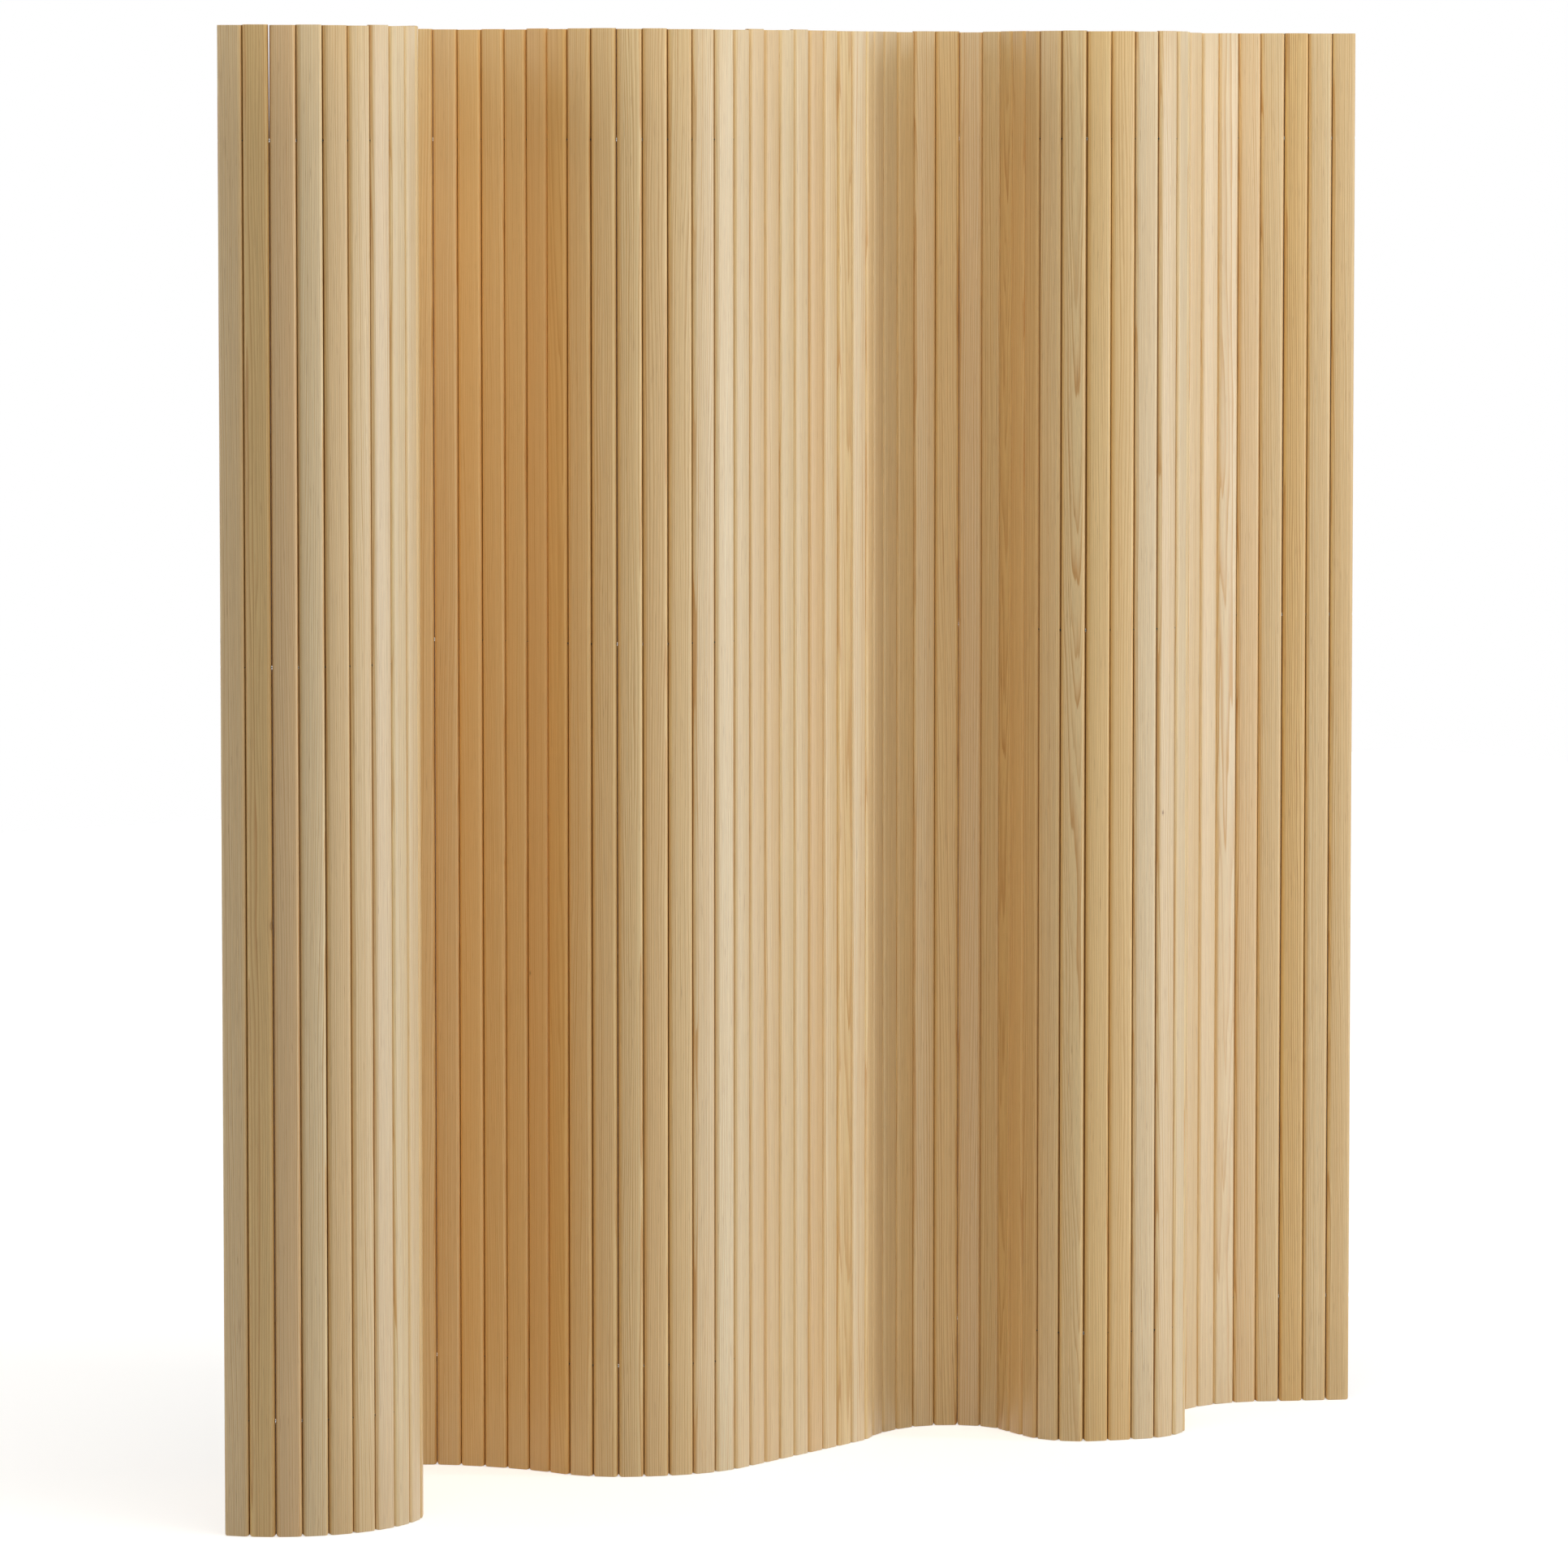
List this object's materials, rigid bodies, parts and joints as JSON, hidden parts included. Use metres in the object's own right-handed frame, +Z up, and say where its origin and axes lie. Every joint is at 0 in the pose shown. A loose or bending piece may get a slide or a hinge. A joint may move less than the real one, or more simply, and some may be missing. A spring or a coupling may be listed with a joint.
{
  "type": "room divider",
  "caption": "Free-standing screen of upright wooden slats threaded side by side on steel wires, standing in waves.",
  "frame": {"origin": "on the floor, at the middle of the standing screen's plan", "axes": "+Z up, +X from the near end of the run to the far one, +Y across it, away from the picture's side"},
  "size_m": [1.4736, 0.35, 1.5],
  "materials": {
    "pine": "clear satin lacquer",
    "wire_steel": "drawn",
    "sleeve_aluminium": "crimped"
  },
  "bodies": {
    "slats_01_02": {"slats_01_02": "pine", "near_end_sleeves": "sleeve_aluminium"},
    "slats_03_04": {"slats_03_04": "pine"},
    "slats_05_06": {"slats_05_06": "pine"},
    "slats_07_08": {"slats_07_08": "pine"},
    "slat_09": {"slat_09": "pine"},
    "slat_10": {"slat_10": "pine"},
    "slats_11_12": {"slats_11_12": "pine"},
    "slats_13_14": {"slats_13_14": "pine"},
    "slats_15_16": {"slats_15_16": "pine"},
    "slat_17": {"slat_17": "pine"},
    "slat_18": {"slat_18": "pine"},
    "slat_19": {"slat_19": "pine"},
    "slat_20": {"slat_20": "pine"},
    "slat_21": {"slat_21": "pine"},
    "slat_22": {"slat_22": "pine"},
    "slat_23": {"slat_23": "pine"},
    "slat_24": {"slat_24": "pine"},
    "slat_25": {"slat_25": "pine"},
    "slat_26": {"slat_26": "pine"},
    "slats_27_28": {"slats_27_28": "pine"},
    "slats_29_30": {"slats_29_30": "pine"},
    "slats_31_32": {"slats_31_32": "pine"},
    "slat_33": {"slat_33": "pine"},
    "slat_34": {"slat_34": "pine"},
    "slats_35_36": {"slats_35_36": "pine"},
    "slats_37_38": {"slats_37_38": "pine"},
    "slats_39_40": {"slats_39_40": "pine", "low_wire": "wire_steel", "middle_wire": "wire_steel", "top_wire": "wire_steel"},
    "slats_41_42": {"slats_41_42": "pine"},
    "slats_43_44": {"slats_43_44": "pine"},
    "slats_45_46": {"slats_45_46": "pine"},
    "slats_47_48": {"slats_47_48": "pine"},
    "slats_49_50": {"slats_49_50": "pine"},
    "slats_51_52": {"slats_51_52": "pine"},
    "slat_53": {"slat_53": "pine"},
    "slat_54": {"slat_54": "pine"},
    "slat_55": {"slat_55": "pine"},
    "slat_56": {"slat_56": "pine"},
    "slats_57_58": {"slats_57_58": "pine"},
    "slat_59": {"slat_59": "pine"},
    "slat_60": {"slat_60": "pine"},
    "slat_61": {"slat_61": "pine"},
    "slats_62_63": {"slats_62_63": "pine"},
    "slat_64": {"slat_64": "pine"},
    "slat_65": {"slat_65": "pine"},
    "slat_66": {"slat_66": "pine"},
    "slat_67": {"slat_67": "pine"},
    "slats_68_69": {"slats_68_69": "pine"},
    "slats_70_71": {"slats_70_71": "pine"},
    "slats_72_73": {"slats_72_73": "pine"},
    "slats_74_75": {"slats_74_75": "pine"},
    "slats_76_77": {"slats_76_77": "pine"},
    "slats_78_79": {"slats_78_79": "pine"},
    "slat_80": {"slat_80": "pine", "far_end_sleeves": "sleeve_aluminium"}
  },
  "joints": [
    {"name": "gap_02_03", "type": "hinge", "parent": "slats_03_04", "child": "slats_01_02", "pos_m": [-0.69929, -0.12946, 0], "axis": [0, 0, -1], "range_deg": [-38.7, 17.3]},
    {"name": "gap_04_05", "type": "hinge", "parent": "slats_05_06", "child": "slats_03_04", "pos_m": [-0.65203, -0.15225, 0], "axis": [0, 0, 1], "range_deg": [-17.3, 38.7]},
    {"name": "gap_06_07", "type": "hinge", "parent": "slats_07_08", "child": "slats_05_06", "pos_m": [-0.59971, -0.15622, 0], "axis": [0, 0, -1], "range_deg": [-38.7, 17.3]},
    {"name": "gap_08_09", "type": "hinge", "parent": "slat_09", "child": "slats_07_08", "pos_m": [-0.54955, -0.14082, 0], "axis": [0, 0, 1], "range_deg": [-17.3, 38.7]},
    {"name": "gap_09_10", "type": "hinge", "parent": "slat_10", "child": "slat_09", "pos_m": [-0.52748, -0.12643, 0], "axis": [0, 0, -1], "range_deg": [-47.3, 8.7]},
    {"name": "gap_10_11", "type": "hinge", "parent": "slats_11_12", "child": "slat_10", "pos_m": [-0.5114, -0.10555, 0], "axis": [0, 0, 1], "range_deg": [-8.7, 47.3]},
    {"name": "gap_12_13", "type": "hinge", "parent": "slats_13_14", "child": "slats_11_12", "pos_m": [-0.49753, -0.05478, 0], "axis": [0, 0, -1], "range_deg": [-34, 22]},
    {"name": "gap_14_15", "type": "hinge", "parent": "slats_15_16", "child": "slats_13_14", "pos_m": [-0.49451, -0.00224, 0], "axis": [0, 0, 1], "range_deg": [-22, 34]},
    {"name": "gap_16_17", "type": "hinge", "parent": "slat_17", "child": "slats_15_16", "pos_m": [-0.50248, 0.04978, 0], "axis": [0, 0, -1], "range_deg": [-14.4, 41.6]},
    {"name": "gap_17_18", "type": "hinge", "parent": "slat_18", "child": "slat_17", "pos_m": [-0.50161, 0.07611, 0], "axis": [0, 0, 1], "range_deg": [-41.6, 14.4]},
    {"name": "gap_18_19", "type": "hinge", "parent": "slat_19", "child": "slat_18", "pos_m": [-0.49457, 0.10151, 0], "axis": [0, 0, -1], "range_deg": [-14.4, 41.6]},
    {"name": "gap_19_20", "type": "hinge", "parent": "slat_20", "child": "slat_19", "pos_m": [-0.48176, 0.12453, 0], "axis": [0, 0, 1], "range_deg": [-41.6, 14.4]},
    {"name": "gap_20_21", "type": "hinge", "parent": "slat_21", "child": "slat_20", "pos_m": [-0.4639, 0.1439, 0], "axis": [0, 0, -1], "range_deg": [-14.4, 41.6]},
    {"name": "gap_21_22", "type": "hinge", "parent": "slat_22", "child": "slat_21", "pos_m": [-0.44198, 0.15853, 0], "axis": [0, 0, 1], "range_deg": [-41.6, 14.4]},
    {"name": "gap_22_23", "type": "hinge", "parent": "slat_23", "child": "slat_22", "pos_m": [-0.41724, 0.16759, 0], "axis": [0, 0, -1], "range_deg": [-14.4, 41.6]},
    {"name": "gap_23_24", "type": "hinge", "parent": "slat_24", "child": "slat_23", "pos_m": [-0.39105, 0.17058, 0], "axis": [0, 0, 1], "range_deg": [-41.6, 14.4]},
    {"name": "gap_24_25", "type": "hinge", "parent": "slat_25", "child": "slat_24", "pos_m": [-0.36491, 0.16732, 0], "axis": [0, 0, -1], "range_deg": [-14.4, 41.6]},
    {"name": "gap_25_26", "type": "hinge", "parent": "slat_26", "child": "slat_25", "pos_m": [-0.34026, 0.15801, 0], "axis": [0, 0, 1], "range_deg": [-41.6, 14.4]},
    {"name": "gap_26_27", "type": "hinge", "parent": "slats_27_28", "child": "slat_26", "pos_m": [-0.31849, 0.14317, 0], "axis": [0, 0, -1], "range_deg": [-14.4, 41.6]},
    {"name": "gap_28_29", "type": "hinge", "parent": "slats_29_30", "child": "slats_27_28", "pos_m": [-0.2851, 0.10247, 0], "axis": [0, 0, 1], "range_deg": [-33.5, 22.5]},
    {"name": "gap_30_31", "type": "hinge", "parent": "slats_31_32", "child": "slats_29_30", "pos_m": [-0.2601, 0.05615, 0], "axis": [0, 0, -1], "range_deg": [-22.5, 33.5]},
    {"name": "gap_32_33", "type": "hinge", "parent": "slat_33", "child": "slats_31_32", "pos_m": [-0.24439, 0.00591, 0], "axis": [0, 0, 1], "range_deg": [-13.1, 42.9]},
    {"name": "gap_33_34", "type": "hinge", "parent": "slat_34", "child": "slat_33", "pos_m": [-0.23141, -0.01702, 0], "axis": [0, 0, -1], "range_deg": [-42.9, 13.1]},
    {"name": "gap_34_35", "type": "hinge", "parent": "slats_35_36", "child": "slat_34", "pos_m": [-0.21297, -0.03585, 0], "axis": [0, 0, 1], "range_deg": [-13.1, 42.9]},
    {"name": "gap_36_37", "type": "hinge", "parent": "slats_37_38", "child": "slats_35_36", "pos_m": [-0.16616, -0.05984, 0], "axis": [0, 0, -1], "range_deg": [-35.1, 20.9]},
    {"name": "gap_38_39", "type": "hinge", "parent": "slats_39_40", "child": "slats_37_38", "pos_m": [-0.11465, -0.0697, 0], "axis": [0, 0, 1], "range_deg": [-16.7, 39.3]},
    {"name": "gap_40_41", "type": "hinge", "parent": "slats_39_40", "child": "slats_41_42", "pos_m": [-0.06331, -0.05901, 0], "axis": [0, 0, 1], "range_deg": [-28.1, 27.9], "deforming": ["low_wire", "middle_wire", "top_wire"]},
    {"name": "gap_42_43", "type": "hinge", "parent": "slats_41_42", "child": "slats_43_44", "pos_m": [-0.01307, -0.04311, 0], "axis": [0, 0, -1], "range_deg": [-27.9, 28.1]},
    {"name": "gap_44_45", "type": "hinge", "parent": "slats_43_44", "child": "slats_45_46", "pos_m": [0.03712, -0.02703, 0], "axis": [0, 0, 1], "range_deg": [-28.1, 27.9]},
    {"name": "gap_46_47", "type": "hinge", "parent": "slats_45_46", "child": "slats_47_48", "pos_m": [0.08725, -0.01078, 0], "axis": [0, 0, -1], "range_deg": [-27.9, 28.1]},
    {"name": "gap_48_49", "type": "hinge", "parent": "slats_47_48", "child": "slats_49_50", "pos_m": [0.13733, 0.00564, 0], "axis": [0, 0, 1], "range_deg": [-47.5, 8.5]},
    {"name": "gap_50_51", "type": "hinge", "parent": "slats_49_50", "child": "slats_51_52", "pos_m": [0.18155, 0.03393, 0], "axis": [0, 0, -1], "range_deg": [-38.2, 17.8]},
    {"name": "gap_52_53", "type": "hinge", "parent": "slats_51_52", "child": "slat_53", "pos_m": [0.23285, 0.04504, 0], "axis": [0, 0, 1], "range_deg": [-8.2, 47.8]},
    {"name": "gap_53_54", "type": "hinge", "parent": "slat_53", "child": "slat_54", "pos_m": [0.25856, 0.03925, 0], "axis": [0, 0, -1], "range_deg": [-47.8, 8.2]},
    {"name": "gap_54_55", "type": "hinge", "parent": "slat_54", "child": "slat_55", "pos_m": [0.28078, 0.0251, 0], "axis": [0, 0, 1], "range_deg": [-8.2, 47.8]},
    {"name": "gap_55_56", "type": "hinge", "parent": "slat_55", "child": "slat_56", "pos_m": [0.2969, 0.00425, 0], "axis": [0, 0, -1], "range_deg": [-51.7, 4.3]},
    {"name": "gap_56_57", "type": "hinge", "parent": "slat_56", "child": "slats_57_58", "pos_m": [0.30328, -0.02132, 0], "axis": [0, 0, 1], "range_deg": [-4.3, 51.7]},
    {"name": "gap_58_59", "type": "hinge", "parent": "slats_57_58", "child": "slat_59", "pos_m": [0.29546, -0.07342, 0], "axis": [0, 0, -1], "range_deg": [-25.7, 30.3]},
    {"name": "gap_59_60", "type": "hinge", "parent": "slat_59", "child": "slat_60", "pos_m": [0.29312, -0.09967, 0], "axis": [0, 0, 1], "range_deg": [-52, 4]},
    {"name": "gap_60_61", "type": "hinge", "parent": "slat_60", "child": "slat_61", "pos_m": [0.30166, -0.1246, 0], "axis": [0, 0, -1], "range_deg": [-4, 52]},
    {"name": "gap_61_62", "type": "hinge", "parent": "slat_61", "child": "slats_62_63", "pos_m": [0.3196, -0.14389, 0], "axis": [0, 0, 1], "range_deg": [-52, 4]},
    {"name": "gap_63_64", "type": "hinge", "parent": "slats_62_63", "child": "slat_64", "pos_m": [0.36865, -0.16311, 0], "axis": [0, 0, -1], "range_deg": [-24.6, 31.4]},
    {"name": "gap_64_65", "type": "hinge", "parent": "slat_64", "child": "slat_65", "pos_m": [0.39394, -0.1705, 0], "axis": [0, 0, 1], "range_deg": [-50, 6]},
    {"name": "gap_65_66", "type": "hinge", "parent": "slat_65", "child": "slat_66", "pos_m": [0.42016, -0.16787, 0], "axis": [0, 0, -1], "range_deg": [-6, 50]},
    {"name": "gap_66_67", "type": "hinge", "parent": "slat_66", "child": "slat_67", "pos_m": [0.44349, -0.15562, 0], "axis": [0, 0, 1], "range_deg": [-50, 6]},
    {"name": "gap_67_68", "type": "hinge", "parent": "slat_67", "child": "slats_68_69", "pos_m": [0.46053, -0.13552, 0], "axis": [0, 0, -1], "range_deg": [-6, 50]},
    {"name": "gap_69_70", "type": "hinge", "parent": "slats_68_69", "child": "slats_70_71", "pos_m": [0.48153, -0.08743, 0], "axis": [0, 0, 1], "range_deg": [-17.4, 38.6]},
    {"name": "gap_71_72", "type": "hinge", "parent": "slats_70_71", "child": "slats_72_73", "pos_m": [0.51849, -0.05019, 0], "axis": [0, 0, -1], "range_deg": [-39.8, 16.2]},
    {"name": "gap_73_74", "type": "hinge", "parent": "slats_72_73", "child": "slats_74_75", "pos_m": [0.56702, -0.03037, 0], "axis": [0, 0, 1], "range_deg": [-16.2, 39.8]},
    {"name": "gap_75_76", "type": "hinge", "parent": "slats_74_75", "child": "slats_76_77", "pos_m": [0.61943, -0.03164, 0], "axis": [0, 0, -1], "range_deg": [-39.8, 16.2]},
    {"name": "gap_77_78", "type": "hinge", "parent": "slats_76_77", "child": "slats_78_79", "pos_m": [0.66694, -0.05379, 0], "axis": [0, 0, 1], "range_deg": [-29.4, 26.6]},
    {"name": "gap_79_80", "type": "hinge", "parent": "slats_78_79", "child": "slat_80", "pos_m": [0.71313, -0.07917, 0], "axis": [0, 0, -1], "range_deg": [-26.6, 29.4]}
  ]
}
